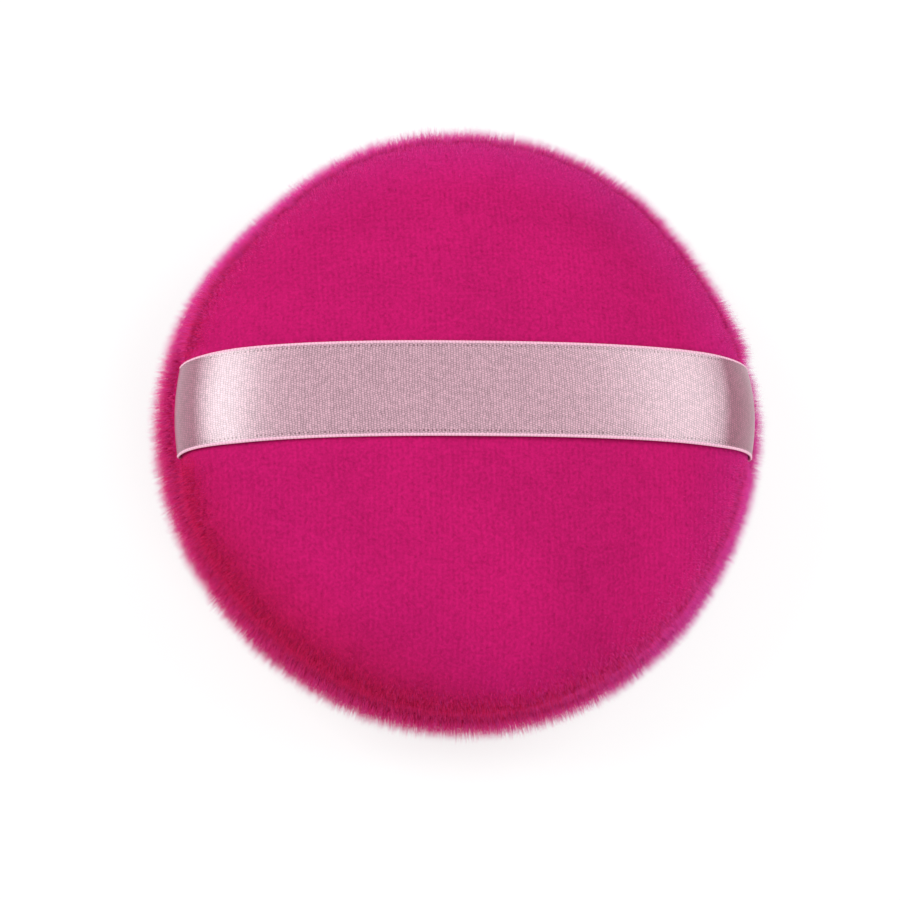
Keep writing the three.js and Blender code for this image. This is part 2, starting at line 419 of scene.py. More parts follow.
def sewn_and_filled(covers):
    """Both covers after the seam is sewn and the foam is in, from a cloth simulation of the two as one bag.

    The seam and the flat that it rests on are held, and the cloth between them swells and gathers. Each
    ring keeps the mean form it was drawn with, and takes on how the cloth swells unevenly round it.
    """
    chosen, rings, reach = [], [], []
    for points, _, from_fold in covers:
        fold = int(np.argmin(np.abs(from_fold)))
        chosen.append(np.unique(np.linspace(0, fold, SWELL_ROWS).round().astype(int)))
        rings.append(points[chosen[-1], ::2])
        reach.append(from_fold[chosen[-1]])
    steps = rings[0].shape[1]
    down = np.concatenate([rings[0][1:], rings[1][:0:-1]])
    away = np.repeat(np.concatenate([reach[0][1:], reach[1][:0:-1]]), steps)
    points = np.concatenate([rings[0][0, :1], down.reshape(-1, 3), rings[1][0, :1]])
    away = np.concatenate([reach[0][:1], away, reach[1][:1]])
    held = (away < HELD_BY_SEAM) | (points[:, 2] < HELD_BY_FLOOR)
    last = len(points) - 1
    faces = ring_faces(1, len(down), steps, False).tolist()
    faces += pole_faces(0, 1, steps, False).tolist()
    faces += pole_faces(last, last - steps, steps, True).tolist()
    shift = blown_up(points, faces, held) - points
    front_pole, back_pole = (np.broadcast_to(pole, (1, steps, 3)) for pole in (shift[0], shift[-1]))
    between = shift[1:-1].reshape(-1, steps, 3)
    shifts = np.concatenate([front_pole, between]), np.concatenate([back_pole, between[::-1]])
    done = []
    for (points, normals, from_fold), rows, shift, outward in zip(covers, chosen, shifts, (1, -1)):
        moved = fill_rows(shift[:len(rows)], rows, len(points))
        swell = (moved * normals).sum(-1, keepdims=True)
        swell = SWELL_SHARE * (swell - swell.mean(1, keepdims=True))
        swell = np.clip(swell, -SWELL_LIMIT, SWELL_LIMIT)
        from_middle = np.hypot(points[..., 0], points[..., 1])
        away = smooth(from_middle, low=5 * MM, high=15 * MM)
        points = points + normals * swell * away[..., None]
        done.append((points, grid_normals(points, outward), from_fold))
    return done


def under_ribbon(points, margin=0.0):
    """1 under the ribbon, fading to 0 past its edges."""
    reach = RIBBON_WIDTH / 2 + margin
    return 1 - smooth(np.abs(points[..., 1] - RIBBON_ASIDE), reach - PRESS_EASE, reach + PRESS_EASE)


# Meshes

def in_scene(name, data):
    """A new object in the scene."""
    made = bpy.data.objects.new(name, data)
    bpy.context.scene.collection.objects.link(made)
    return made


def new_mesh(name, points, faces, material_index=None, flat_faces=0):
    """A smooth mesh object from points and faces of one size. The last flat_faces of them are flat."""
    points = np.ascontiguousarray(points, np.float32).reshape(-1, 3)
    faces = np.ascontiguousarray(faces, np.int32)
    mesh = bpy.data.meshes.new(name)
    mesh.vertices.add(len(points))
    mesh.vertices.foreach_set("co", points.ravel())
    mesh.loops.add(faces.size)
    mesh.loops.foreach_set("vertex_index", faces.ravel())
    mesh.polygons.add(len(faces))
    mesh.polygons.foreach_set("loop_start", np.arange(len(faces), dtype=np.int32) * faces.shape[1])
    mesh.polygons.foreach_set("use_smooth", np.arange(len(faces)) < len(faces) - flat_faces)
    if material_index is not None:
        mesh.polygons.foreach_set("material_index", np.ascontiguousarray(material_index, np.int32))
    mesh.update(calc_edges=True)
    mesh.validate()
    return in_scene(name, mesh)


def beside(steps):
    """The numbers of a ring's points, and of the point after each."""
    here = np.arange(steps)
    return here, (here + 1) % steps


def ring_faces(first, rings, steps, flip):
    """Quads between rings of points that are numbered one ring after another."""
    ring = np.arange(rings - 1)[:, None] * steps + first
    here, after = beside(steps)
    quads = np.stack([ring + here, ring + steps + here, ring + steps + after, ring + after], -1)
    quads = quads.reshape(-1, 4)
    return quads[:, ::-1] if flip else quads


def pole_faces(pole, first, steps, flip):
    """Triangles from a pole to the ring next to it."""
    here, after = beside(steps)
    fan = np.stack([np.full(steps, pole), first + here, first + after], -1)
    return fan[:, ::-1] if flip else fan


def split_quads(quads):
    """Two triangles from each quad."""
    return np.concatenate([quads[:, [0, 1, 2]], quads[:, [0, 2, 3]]])


def shell(name, outer, inner, flip):
    """A closed cover from its outer and inner grids, which share their last ring's edge."""
    steps = outer.shape[1]
    outer_rings, inner_rings = outer[1:], inner[1:]
    points = [outer[0, :1], outer_rings.reshape(-1, 3), inner[0, :1], inner_rings.reshape(-1, 3)]
    inner_pole = 1 + len(outer_rings) * steps
    inner_first = inner_pole + 1
    last_outer = 1 + (len(outer_rings) - 1) * steps
    last_inner = inner_first + (len(inner_rings) - 1) * steps
    here, after = beside(steps)
    edge = np.stack([last_outer + here, last_inner + here, last_inner + after, last_outer + after], -1)
    quads = np.concatenate([
        ring_faces(1, len(outer_rings), steps, flip),
        ring_faces(inner_first, len(inner_rings), steps, not flip),
        edge[:, ::-1] if flip else edge,
    ])
    fans = [pole_faces(0, 1, steps, flip), pole_faces(inner_pole, inner_first, steps, not flip)]
    return new_mesh(name, np.concatenate(points), np.concatenate([split_quads(quads), *fans]))


def inner_side(points, normals, rings):
    """The inside of a cover, with fewer rings, from the pole to the allowance's edge."""
    chosen = np.unique(np.linspace(0, len(points) - 1, rings).round().astype(int))
    return points[chosen] - normals[chosen] * CLOTH


# Pile

def bend(normals):
    """0 on the face and the flat, growing to 1 where the cloth bends round the rim."""
    return 1 - np.abs(normals[..., 2])


def with_nap(points):
    """1 on the upper rim, where the nap leans over the face, and 0 on the lower one, where it leans out."""
    return smooth(points[..., 1], -NAP_TURN, NAP_TURN)


def painted_light_share(points):
    """1 where the rim's pile has painted light, at the upper right, and 0 where it has painted shade, at the
    lower left.
    """
    along = points[..., 0] * math.cos(PAINTED_LIGHT_WAY) + points[..., 1] * math.sin(PAINTED_LIGHT_WAY)
    return smooth(along, *PAINTED_LIGHT_TURN)


def quad_corners(grid):
    """What the grid holds at the four corners of its quads, which close up round each ring."""
    after = np.roll(grid, -1, 1)
    return [grid[:-1], after[:-1], after[1:], grid[1:]]


def pile(name, points, normals, bent, length, seed, flatten=None):
    """Tapered fibres standing on a grid, leaning with the nap.

    For each grid point, bent says how far the cloth bends round the rim, length is how long the fibres are
    and flatten is how far they are pressed down. No fibre stands where length is 0.
    """
    count = FIBRES
    random = np.random.default_rng(seed)
    a, b, c, d = quad_corners(points)
    area = np.linalg.norm(np.cross(c - a, d - b), axis=-1) / 2
    area = area * (np.minimum.reduce(quad_corners(length)) > 0)
    area = area * (1 + (RIM_WEIGHT - 1) * smooth(bent, *RIM_BEND))[:-1]
    share = np.cumsum(area.ravel())
    quad = np.searchsorted(share, random.random(count) * share[-1])
    row, column = np.unravel_index(quad, area.shape)
    u, v = random.random((2, count, 1))

    def spread(grid):
        """What the grid holds at the root of each fibre."""
        p, q, r, s = (corner[row, column].reshape(count, -1) for corner in quad_corners(grid))
        return (p * (1 - u) + q * u) * (1 - v) + (s * (1 - u) + r * u) * v

    root, normal, reach = spread(points), spread(normals), spread(length)
    row_place = np.round(root[:, :1] / WALE) * WALE + random.normal(0, WALE_SPREAD * WALE, (count, 1))
    facing = np.clip(normal[:, 2:], 0, 1) ** 2
    root[:, :1] += (row_place - root[:, :1]) * facing * WALE_PULL
    sway = noise_at(root, SWAY_SIZE, seed)[:, None] * np.array(SWAY_LEAN)
    lean = np.array(NAP_LEAN) + sway + random.normal(0, LEAN_SPREAD, (count, 3))
    way = normal + lean
    growth = random.uniform(SHORTEST_SHARE, 1, (count, 1))
    reach = reach * growth
    if flatten is not None:
        flat = spread(flatten)
        way = way - normal * flat * PRESSED_LEAN
        reach = np.where(flat > PRESSED_FROM, np.minimum(reach, PRESSED_LENGTH), reach)
    way = unit(way)
    side = unit(np.cross(way, random.normal(size=(count, 3))))
    other = np.cross(way, side)
    thick = FIBRE_RADIUS * np.clip(random.normal(1, THICK_SPREAD, (count, 1)), *THICK_SHARES)
    foot = root - normal * ROOT_DEPTH
    corners = [foot + thick * (math.cos(t) * side + math.sin(t) * other) for t in ROOT_CORNERS]
    tip = root + way * reach
    verts = np.stack([*corners, tip], 1)
    faces = np.arange(count)[:, None, None] * verts.shape[1] + np.array(FIBRE_FACES)[None]
    face_shade = random.choice(len(FACE_SHADES), count, p=FACE_SHADES)
    # Painted light and shade: rim fibres towards the upper right mostly take the pale shades, towards the
    # lower left the deep ones
    pale = painted_light_share(root)
    low, high = (edge - earlier * pale for edge, earlier in zip(RIM_BEND, PAINTED_LIGHT_START))
    at_rim = random.random(count) < RIM_SHARE * smooth(spread(bent)[:, 0], low, high)
    rim_shade = len(FACE_SHADES) + 2 * (random.random(count) > pale) + (growth[:, 0] > LONG_SHARE)
    shade = np.where(at_rim, rim_shade, face_shade)
    return new_mesh(name, verts, faces.reshape(-1, 3), np.repeat(shade, len(FIBRE_FACES)))


# Ribbon

def ribbon_reach(across, side):
    """How far the front rim reaches along X on one side at a place across the ribbon, to its middle line."""
    angle = np.arcsin((across + RIBBON_ASIDE) / GROUND_EDGE)
    gap = RIBBON_LIFT + RIBBON_THICKNESS / 2
    place = angle if side > 0 else np.pi - angle
    return GROUND_EDGE * (1 - drawn_in(place, FRONT_RIM) / BACK_RADIUS) * np.cos(angle) + gap


def ribbon_path():
    """The ribbon's middle line on the right, as shares of its reach and heights: the band, then the tail."""
    rise = GROUND_CROWN + RIBBON_LIFT + RIBBON_THICKNESS / 2 - SEAM
    whole = dome_curve() * [1, rise] + [0, SEAM]
    band = whole[whole[:, 1] >= FRONT_RIM]
    reach = band_high.x
    fold = (FOLD_RADIUS - TAIL_FOLD_INSET) / reach
    low = whole[(whole[:, 1] < FRONT_RIM) & (whole[:, 1] > SEAM + TURN_IN)]
    turn = arc((fold, SEAM + TURN_IN), (low[-1, 0] - fold, TURN_IN), 0, -90, steps=30)
    tail = np.concatenate([band[-1:], low, turn[1:], [[fold - RIBBON_TAIL / reach, SEAM]]])
    scale = np.array([reach, 1])
    return evenly(band * scale, RIBBON_STEP) / scale, evenly(tail * scale, RIBBON_STEP) / scale


def ribbon_section():
    """Places across the ribbon and its half thickness there, from edge to edge, thicker at the selvedges."""
    half = RIBBON_WIDTH / 2
    inner = half - SELVEDGE_WIDTH
    edge = half - SELVEDGE_WIDTH * (1 - np.sin(np.linspace(0, np.pi / 2, SELVEDGE_STEPS)))
    across = np.concatenate([-edge[::-1], np.linspace(-inner, inner, RIBBON_ACROSS)[1:-1], edge])
    place = np.clip((np.abs(across) - inner) / SELVEDGE_WIDTH, 0, 1)
    swell = np.sin(np.pi * np.clip(place * BEADS_IN_SELVEDGE, 0, 1)) ** 2
    bead = RIBBON_THICKNESS / 2 + SELVEDGE_SWELL * swell
    rounding = np.clip(2 * place - 1, 0, 1)
    return across, np.maximum(bead * np.sqrt(1 - rounding ** 2), THINNEST_EDGE)


def ribbon_piece(name, path, side, start_length, thinner=0.0):
    """One stretch of ribbon on one side (1 right, -1 left), closed all round, with a map in millimetres."""
    across, half_thick = ribbon_section()
    reach = ribbon_reach(across, side)
    first = path[0] + END_LOOP * (path[1] - path[0])
    last = path[-1] + END_LOOP * (path[-2] - path[-1])
    path = np.concatenate([path[:1], [first], path[1:-1], [last], path[-1:]])
    share, height = path[:, 0], path[:, 1]
    taper = 1 - END_TAPER * smooth(share, low=0.8, high=1.0)
    x = share[:, None] * reach[None]
    y = RIBBON_ASIDE + across[None] * taper[:, None]
    drop = (across / (RIBBON_WIDTH / 2)) ** 2 * EDGE_DROP
    z = height[:, None] - drop[None] * (1 - share[:, None] ** 2)
    middle = np.stack([x * side, y, z], -1)
    normal = unit(np.cross(np.gradient(middle, axis=0), np.gradient(middle, axis=1)) * side)
    length = start_length + distances(middle[:, len(across) // 2])
    wave = SCALLOP_DEPTH * np.sin(2 * np.pi * length / SCALLOP_PITCH)[:, None]
    scallop = 1 + wave * (np.abs(across) > RIBBON_WIDTH / 2 - SCALLOP_WIDTH)
    thick = (half_thick[None] - thinner) * scallop
    top = middle + normal * thick[..., None]
    low = middle - normal * thick[..., None]
    loop = np.concatenate([top, low[:, ::-1]], 1)
    rows, steps = loop.shape[:2]
    strip = np.arange(len(across) - 1)
    cap = np.stack([strip, strip + 1, steps - 2 - strip, steps - 1 - strip], -1)
    far = cap + (rows - 1) * steps
    caps = [cap[:, ::-1], far] if side < 0 else [cap, far[:, ::-1]]
    faces = np.concatenate([ring_faces(0, rows, steps, side < 0), *caps])
    loop_across = np.concatenate([across, across[::-1]])
    at_edge = np.abs(loop_across) > RIBBON_WIDTH / 2 - SELVEDGE_WIDTH - HAIR
    in_edge = at_edge[faces % steps].all(1)
    piece = new_mesh(name, loop, faces, in_edge.astype(int), 2 * len(cap))
    layer = piece.data.uv_layers.new(name=RIBBON_MAP)
    corner = np.zeros(len(piece.data.loops), np.int32)
    piece.data.loops.foreach_get("vertex_index", corner)
    flat = np.stack([length[corner // steps] * side, loop_across[corner % steps]], -1) / MM
    layer.data.foreach_set("uv", flat.astype(np.float32).ravel())
    return piece, length[-1]


# Threads

def thread_piece(name, path, thickness):
    """A thread of two plies twisted round each other along a path."""
    path = evenly(path, THREAD_STEP)
    along = unit(np.gradient(path, axis=0))
    side = unit(np.cross(along, [0, 0, 1.0]))
    up = np.cross(side, along)
    place = np.arange(len(path)) * THREAD_STEP
    ring = np.arange(PLY_SIDES) * 2 * np.pi / PLY_SIDES
    round_it = np.cos(ring)[None, :, None] * side[:, None] + np.sin(ring)[None, :, None] * up[:, None]
    points, faces = [], []
    for ply in range(PLIES):
        turn = (2 * np.pi * place / PLY_PITCH + np.pi * ply)[:, None]
        middle = path + thickness / 4 * (np.cos(turn) * side + np.sin(turn) * up)
        tube = middle[:, None] + round_it * thickness / 4
        first = ply * len(path) * PLY_SIDES
        points.append(tube.reshape(-1, 3))
        faces.append(ring_faces(first, len(path), PLY_SIDES, True))
        for base, turned in ((first, False), (first + (len(path) - 1) * PLY_SIDES, True)):
            cap = base + np.array(PLY_ENDS)
            faces.append(cap[:, ::-1] if turned else cap)
    return new_mesh(name, np.concatenate(points), np.concatenate(faces))


# Materials

def set_inputs(made, values):
    """Sets a node's inputs by name."""
    for key, value in values.items():
        made.inputs[key].default_value = value


def material(name, colour, roughness, sheen=0.0, sheen_roughness=0.4, sheen_tint=(1, 1, 1), specular=0.5):
    """A material with plain values, and its node tree and shader."""
    made = bpy.data.materials.new(name)
    made.use_nodes = True
    tree = made.node_tree
    shader = tree.nodes["Principled BSDF"]
    set_inputs(shader, {
        "Base Color": (*colour, 1), "Roughness": roughness, "Specular IOR Level": specular,
        "Sheen Weight": sheen, "Sheen Roughness": sheen_roughness, "Sheen Tint": (*sheen_tint, 1),
    })
    return made, tree, shader


def texture(tree, kind, place, **settings):
    """A texture node at a place, with settings for its inputs by name."""
    made = tree.nodes.new(kind)
    set_inputs(made, settings)
    tree.links.new(place, made.inputs["Vector"])
    return made


def noise_value(tree, place, scale, detail):
    """A smooth noise texture's value at a place."""
    return texture(tree, "ShaderNodeTexNoise", place, Scale=scale, Detail=detail).outputs["Fac"]


def object_place(tree):
    """A point's place in its piece's own axes."""
    return tree.nodes.new("ShaderNodeTexCoord").outputs["Object"]


def ribbon_place(tree):
    """A point's place on the flat ribbon, in millimetres."""
    made = tree.nodes.new("ShaderNodeUVMap")
    made.uv_map = RIBBON_MAP
    return made.outputs["UV"]


def taken_apart(tree, place):
    """The first two numbers of a place."""
    made = tree.nodes.new("ShaderNodeSeparateXYZ")
    tree.links.new(place, made.inputs[0])
    return made.outputs["X"], made.outputs["Y"]


def math_node(tree, operation, *values):
    """A Math node on outputs or plain numbers."""
    made = tree.nodes.new("ShaderNodeMath")
    made.operation = operation
    for place, value in enumerate(values):
        if isinstance(value, (int, float)):
            made.inputs[place].default_value = value
        else:
            tree.links.new(value, made.inputs[place])
    return made.outputs[0]


def plus(tree, first, second):
    """The sum of two values."""
    return math_node(tree, "ADD", first, second)


def times(tree, first, second):
    """The product of two values."""
    return math_node(tree, "MULTIPLY", first, second)


def colour_mix(tree, share, first, second):
    """A colour between two, by an output that is a share. The node takes them at inputs 6 and 7."""
    made = tree.nodes.new("ShaderNodeMix")
    made.data_type = "RGBA"
    tree.links.new(share, made.inputs["Factor"])
    for socket, value in ((made.inputs[6], first), (made.inputs[7], second)):
        if isinstance(value, tuple):
            socket.default_value = (*value, 1)
        else:
            tree.links.new(value, socket)
    return made.outputs[2]


def tinted(colour, tint):
    """A colour times a tint, which is one number or one for each channel."""
    return tuple(np.multiply(colour, tint).tolist())


def grained(tree, level, colour, tints):
    """A colour from its dark tint to its light one, by an output that is a share."""
    return colour_mix(tree, level, *(tinted(colour, tint) for tint in tints))


def remap(tree, value, low, high, new_low=0.0, new_high=1.0):
    """An output moved from one range to another, held at its ends."""
    made = tree.nodes.new("ShaderNodeMapRange")
    tree.links.new(value, made.inputs["Value"])
    set_inputs(made, {"From Min": low, "From Max": high, "To Min": new_low, "To Max": new_high})
    return made.outputs["Result"]


def dome(tree, value):
    """0 at whole numbers and 1 half way between them."""
    part = math_node(tree, "FRACT", value)
    return times(tree, times(tree, part, math_node(tree, "SUBTRACT", 1.0, part)), 4.0)


def surface(tree, shader, colour, height, strength, distance):
    """Gives the shader a colour and a bump from outputs."""
    tree.links.new(colour, shader.inputs["Base Color"])
    made = tree.nodes.new("ShaderNodeBump")
    set_inputs(made, {"Strength": strength, "Distance": distance})
    tree.links.new(height, made.inputs["Height"])
    tree.links.new(made.outputs["Normal"], shader.inputs["Normal"])


# The velour's colours, with tints for the dark and the light of its ground's grain
VELOUR = (0.44, 0.0072, 0.112)
SHEEN_PINK = (0.8, 0.3, 1.0)
PLAIN_TINTS = (0.78, 1.2)
# Painted light and painted shade on the ground near the rim: paler and more violet at the upper right, deeper
# at the lower left
PAINTED_LIGHT_TINTS = ((0.84, 1.3, 1.12), (1.3, 1.9, 1.65))
PAINTED_SHADE_TINTS = ((0.74, 0.76, 0.5), (1.12, 1.16, 0.78))
PAINTED_LIGHT_SPAN = (-5 * MM, 25 * MM)
PAINTED_SHADE_SPAN = (-38 * MM, -25 * MM)
NEAR_RIM = (29 * MM, 37 * MM)

# The ground's grain
WALE_WOBBLE = 1.2 * MM
WALE_WEIGHT = 0.05
MOTTLE_WEIGHT = 0.5

# The face's shades of fibre, as tints of the velour's red and of the rest
FACE_PILE_TINTS = ((0.88, 0.86), (1.02, 1.0), (1.16, 1.12), (1.5, 2.1))

# The rim's shades of fibre, as painted light and shade: pale short, pale long, deep short and deep long
# They are lighter than the face's as a painted glow of light through the fibres; pale is the lit side, deep
# the shaded
RIM_PILE_PAINTED_TONES = {
    "front": ((0.92, 0.055, 0.33), (0.76, 0.062, 0.39), (0.74, 0.016, 0.115), (0.79, 0.021, 0.155)),
    "back": ((0.76, 0.045, 0.28), (0.73, 0.07, 0.41), (0.88, 0.026, 0.175), (0.85, 0.05, 0.31)),
}


def velour_cloth():
    """The ground of the velour: wales along Y, mottling and fine grain, with painted light and painted shade
    near the rim.
    """
    made, tree, shader = material(
        "velour_ground", VELOUR, roughness=0.9,
        sheen=0.06, sheen_roughness=0.45, sheen_tint=SHEEN_PINK, specular=0.05,
    )
    place = object_place(tree)
    x, y = taken_apart(tree, place)
    wobble = noise_value(tree, place, scale=180.0, detail=2.0)
    shifted = plus(tree, x, times(tree, wobble, WALE_WOBBLE))
    wale = math_node(tree, "SINE", times(tree, shifted, 2 * math.pi / WALE))
    grain = noise_value(tree, place, scale=2600.0, detail=3.0)
    mottle = noise_value(tree, place, scale=70.0, detail=3.0)
    tone = plus(tree, times(tree, wale, WALE_WEIGHT), grain)
    tone = plus(tree, tone, times(tree, mottle, MOTTLE_WEIGHT))
    level = remap(tree, tone, low=0.5, high=1.05)
    tints = (PLAIN_TINTS, PAINTED_LIGHT_TINTS, PAINTED_SHADE_TINTS)
    plain, pale, deep = (grained(tree, level, VELOUR, pair) for pair in tints)
    # Painted light near the rim towards the upper right, then painted shade towards the lower left
    along = plus(tree, times(tree, x, math.cos(PAINTED_LIGHT_WAY)), times(tree, y, math.sin(PAINTED_LIGHT_WAY)))
    from_middle = math_node(tree, "SQRT", plus(tree, times(tree, x, x), times(tree, y, y)))
    near_rim = remap(tree, from_middle, *NEAR_RIM)
    share = times(tree, remap(tree, along, *PAINTED_LIGHT_SPAN), near_rim)
    turned = colour_mix(tree, share, plain, pale)
    share = times(tree, remap(tree, along, *PAINTED_SHADE_SPAN, 1.0, 0.0), near_rim)
    colour = colour_mix(tree, share, turned, deep)
    surface(tree, shader, colour, tone, strength=0.5, distance=0.12 * MM)
    return made


def pile_material(name, colour):
    """One shade of fibre, plain so that each fibre is one colour."""
    return material(name, colour, roughness=0.8, sheen=0.08, sheen_tint=SHEEN_PINK, specular=0.05)[0]


def pile_materials():
    """Each cover's shades of fibre: the face's, then the rim's short and long ones in painted light and
    painted shade.
    """
    face = []
    for number, (red, blue) in enumerate(FACE_PILE_TINTS, 1):
        face.append(pile_material(f"velour_pile_{number}", tinted(VELOUR, (red, blue, blue))))
    made = {}
    for cover, tones in RIM_PILE_PAINTED_TONES.items():
        rim = [pile_material(f"velour_rim_{cover}_{number}", tone) for number, tone in enumerate(tones, 1)]
        made[cover] = face + rim
    return made


# The ribbon's colours and its weave, which is drawn on a map in millimetres
RIBBON_MAP = "ribbon_mm"
SATIN = (0.445, 0.257, 0.315)
# Painted shade: the satin darkens to this near its ends, where it turns away from the light
SATIN_PAINTED_SHADE = (0.275, 0.09, 0.14)
SATIN_TINTS = (0.45, 1.5)
FLOAT_WIDTH_MM = 0.36
FLOAT_LENGTH_MM = 0.3
FLOAT_STAGGER = 0.4
FLOAT_DRIFT = 1.5
CHANCE_WEIGHT = 0.35
# Where the painted shade at the ribbon's ends starts and is full, measured from a point moved aside of the
# middle, in millimetres
PAINTED_SHADE_ASIDE_MM = 1.2
PAINTED_SHADE_RANGE_MM = (34.9, 36.5)

# The needle marks inside the selvedges
NEEDLE_MARK = (0.13, 0.05, 0.07)
NEEDLE_INSET_MM = 0.7
NEEDLE_ROW_MM = (0.08, 0.2)
NEEDLE_PITCH_MM = 0.55
NEEDLE_DRIFT = 5.0
NEEDLE_RANGE = (0.1, 0.6)

# The selvedges
SELVEDGE = (0.75, 0.42, 0.54)
CROSS_THREAD_MM = 0.45
SELVEDGE_TINTS = (0.88, 1.12)


def satin_weave():
    """Satin with its fine staggered floats, painted shade near its ends and a row of small dark needle marks
    inside each selvedge.
    """
    made, tree, shader = material(
        "satin_weave", SATIN, roughness=0.32, sheen=0.1, sheen_tint=(1, 0.9, 0.95), specular=1.0,
    )
    place = ribbon_place(tree)
    along, across = taken_apart(tree, place)
    drift = noise_value(tree, place, scale=0.9, detail=2.0)
    column = math_node(tree, "DIVIDE", along, FLOAT_WIDTH_MM)
    column = plus(tree, column, times(tree, drift, FLOAT_DRIFT))
    number = math_node(tree, "FLOOR", column)
    row = math_node(tree, "DIVIDE", across, FLOAT_LENGTH_MM)
    row = plus(tree, row, times(tree, number, FLOAT_STAGGER))
    cell = tree.nodes.new("ShaderNodeCombineXYZ")
    tree.links.new(number, cell.inputs[0])
    tree.links.new(math_node(tree, "FLOOR", row), cell.inputs[1])
    chance = texture(tree, "ShaderNodeTexWhiteNoise", cell.outputs[0]).outputs["Value"]
    rounded = times(tree, dome(tree, column), dome(tree, row))
    tone = plus(tree, times(tree, chance, CHANCE_WEIGHT), rounded)
    level = remap(tree, tone, low=0.08, high=1.28)
    middle, end = (grained(tree, level, colour, SATIN_TINTS) for colour in (SATIN, SATIN_PAINTED_SHADE))
    # Painted shade near the ribbon's ends, where it turns away from the light
    from_middle = math_node(tree, "ABSOLUTE", plus(tree, along, PAINTED_SHADE_ASIDE_MM))
    weave = colour_mix(tree, remap(tree, from_middle, *PAINTED_SHADE_RANGE_MM), middle, end)
    from_edge = math_node(tree, "SUBTRACT", RIBBON_WIDTH / 2 / MM, math_node(tree, "ABSOLUTE", across))
    from_row = math_node(tree, "ABSOLUTE", math_node(tree, "SUBTRACT", from_edge, NEEDLE_INSET_MM))
    in_row = remap(tree, from_row, *NEEDLE_ROW_MM, 1.0, 0.0)
    turn = times(tree, along, 2 * math.pi / NEEDLE_PITCH_MM)
    turn = plus(tree, turn, times(tree, drift, NEEDLE_DRIFT))
    mark = times(tree, in_row, remap(tree, math_node(tree, "SINE", turn), *NEEDLE_RANGE))
    mark = times(tree, mark, remap(tree, chance, *NEEDLE_RANGE))
    colour = colour_mix(tree, mark, weave, NEEDLE_MARK)
    height = math_node(tree, "SUBTRACT", tone, mark)
    surface(tree, shader, colour, height, strength=0.4, distance=0.012 * MM)
    return made


def satin_selvedge():
    """The woven edge, brighter and pinker than the face, with its cross threads."""
    made, tree, shader = material(
        "satin_selvedge", SELVEDGE, roughness=0.5, sheen=0.2, sheen_tint=(1, 0.8, 0.9), specular=0.4,
    )
    along, _ = taken_apart(tree, ribbon_place(tree))
    thread = math_node(tree, "SINE", times(tree, along, 2 * math.pi / CROSS_THREAD_MM))
    tone = remap(tree, thread, -1, 1)
    colour = grained(tree, tone, SELVEDGE, SELVEDGE_TINTS)
    surface(tree, shader, colour, tone, strength=0.3, distance=0.05 * MM)
    return made


# The foam's and the thread's colours: plain, then the dark and the light of their texture
FOAM = (0.88, 0.81, 0.63)
FOAM_TONES = ((0.6, 0.52, 0.36), (0.9, 0.83, 0.66))
THREAD = (0.45, 0.011, 0.125)
THREAD_TONES = ((0.36, 0.008, 0.1), (0.52, 0.015, 0.15))


def foam_material():
    """Open-cell foam: pale, with fine cells."""
    made, tree, shader = material("open_cell_foam", FOAM, roughness=0.9, specular=0.2)
    cells = texture(tree, "ShaderNodeTexVoronoi", object_place(tree), Scale=1500.0)
    tone = remap(tree, cells.outputs["Distance"], low=0.1, high=0.7)
    colour = colour_mix(tree, tone, *FOAM_TONES)
    surface(tree, shader, colour, tone, strength=0.6, distance=0.2 * MM)
    return made


def cotton_material():
    """Magenta sewing thread with its fibres along the plies."""
    made, tree, shader = material(
        "sewing_thread", THREAD, roughness=0.7, sheen=0.2, sheen_tint=SHEEN_PINK, specular=0.3,
    )
    fibres = noise_value(tree, object_place(tree), scale=5000.0, detail=2.0)
    tone = remap(tree, fibres, low=0.3, high=0.7)
    colour = colour_mix(tree, tone, *THREAD_TONES)
    surface(tree, shader, colour, tone, strength=0.4, distance=0.05 * MM)
    return made


# The pieces

def fibre_length(from_fold, bent, at_edge, near_end):
    """How long the longest fibres are, from the face to the rim, where at_edge is their length.

    near_end says how much shorter they are beside the ribbon. None stand inside the seam's fold.
    """
    length = FACE_FIBRE + (at_edge - FACE_FIBRE) * smooth(bent, low=0.3, high=0.75)
    return (from_fold > PILE_FROM_FOLD)[:, None] * length * (1 - near_end)


def velour_pile(cover, points, normals, bent, length, seed, flatten=None):
    """The pile of a cover in two pieces, above and below the middle of the face."""
    lower = points[..., 1] < 0
    upper = ~lower | np.roll(~lower, 1, 1) | np.roll(~lower, -1, 1)
    made = []
    for number, (half, inside) in enumerate((("upper", upper), ("lower", lower))):
        here = np.where(inside, length, 0)
        made.append(pile(f"pile_{cover}_{half}", points, normals, bent, here, seed + number, flatten))
    return made


def front_velour(points, normals, from_fold):
    """The front cover and the two pieces of its pile."""
    cover = shell("velour_front", points, inner_side(points, normals, rings=36), False)
    bent = bend(normals)
    pressed = under_ribbon(points) * (normals[..., 2] > PRESSED_FACING)
    near_end = SHORTER_BESIDE * under_ribbon(points, margin=1.5 * MM)
    at_edge = LOWER_RIM_FIBRE + (RIM_FIBRE - LOWER_RIM_FIBRE) * with_nap(points)
    length = fibre_length(from_fold, bent, at_edge, near_end)
    return cover, velour_pile("front", points, normals, bent, length, seed=11, flatten=pressed[..., None])


